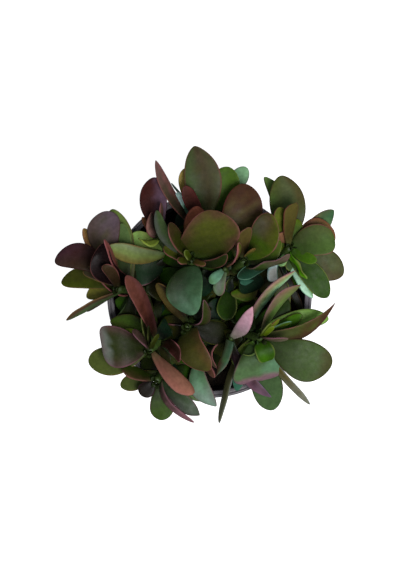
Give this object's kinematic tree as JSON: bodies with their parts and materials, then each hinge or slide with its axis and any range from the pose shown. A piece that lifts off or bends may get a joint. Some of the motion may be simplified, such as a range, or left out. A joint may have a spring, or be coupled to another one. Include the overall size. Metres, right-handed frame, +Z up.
{
  "type": "potted trailing jade",
  "caption": "Trailing jade succulent with broad fleshy leaves flushed dark red, growing on short leaning stems in a round plastic nursery pot.",
  "frame": {"origin": "centre of the pot's flat base, on the surface it stands on", "axes": "+Z up along the pot's axis; +Y towards the big topmost leaf, +X to the right of it seen from above"},
  "size_m": [0.2104, 0.1997, 0.178],
  "materials": {
    "pot_plastic": "dark grey-brown moulded plastic, faintly ribbed, dull sheen",
    "potting_mix": "dark, crumbly, moist potting mix with pale grit",
    "stem_skin": "smooth fleshy skin, green turning brown towards the foot",
    "leaf_skin": "smooth waxy skin, green flushed dark red and purple, thin pink margin"
  },
  "bodies": {
    "root": {"pot": "pot_plastic", "soil": "potting_mix", "stem_west": "stem_skin", "stem_north_west": "stem_skin", "stem_centre": "stem_skin", "stem_north": "stem_skin", "stem_north_east": "stem_skin", "stem_east": "stem_skin", "stem_south_east": "stem_skin", "stem_south_west": "stem_skin", "stem_south_south_west": "stem_skin", "stem_inner_south": "stem_skin", "stem_south": "stem_skin", "leaf_west_round": "leaf_skin", "leaf_west_under": "leaf_skin", "leaf_west_maroon": "leaf_skin", "leaf_west_olive": "leaf_skin", "leaf_west_hollow": "leaf_skin", "leaf_west_blade": "leaf_skin", "leaf_west_low": "leaf_skin", "leaf_north_west_long": "leaf_skin", "leaf_north_west_blue": "leaf_skin", "leaf_north_west_purple": "leaf_skin", "leaf_centre_pale": "leaf_skin", "leaf_centre_wide": "leaf_skin", "leaf_centre_upright": "leaf_skin", "leaf_centre_grey": "leaf_skin", "leaf_centre_brown": "leaf_skin", "leaf_north_red": "leaf_skin", "leaf_north_top": "leaf_skin", "leaf_north_bright": "leaf_skin", "leaf_north_east_round": "leaf_skin", "leaf_north_east_olive": "leaf_skin", "leaf_north_east_broad": "leaf_skin", "leaf_north_east_wavy": "leaf_skin", "leaf_east_green": "leaf_skin", "leaf_east_under": "leaf_skin", "leaf_east_pointed": "leaf_skin", "leaf_east_north": "leaf_skin", "leaf_east_inner": "leaf_skin", "leaf_east_slim": "leaf_skin", "leaf_east_low": "leaf_skin", "leaf_east_grey": "leaf_skin", "leaf_south_east_inner": "leaf_skin", "leaf_south_east_blade": "leaf_skin", "leaf_south_east_wide": "leaf_skin", "leaf_south_east_under": "leaf_skin", "leaf_south_east_big": "leaf_skin", "leaf_south_east_dark": "leaf_skin", "leaf_south_east_bright": "leaf_skin", "leaf_south_west_silver": "leaf_skin", "leaf_south_west_curled": "leaf_skin", "leaf_south_west_olive": "leaf_skin", "leaf_south_west_dusty": "leaf_skin", "leaf_south_west_salmon": "leaf_skin", "leaf_south_south_west_grey": "leaf_skin", "leaf_south_south_west_green": "leaf_skin", "leaf_inner_south_oval": "leaf_skin", "leaf_inner_south_slim": "leaf_skin", "leaf_south_pale": "leaf_skin"}
  },
  "joints": []
}
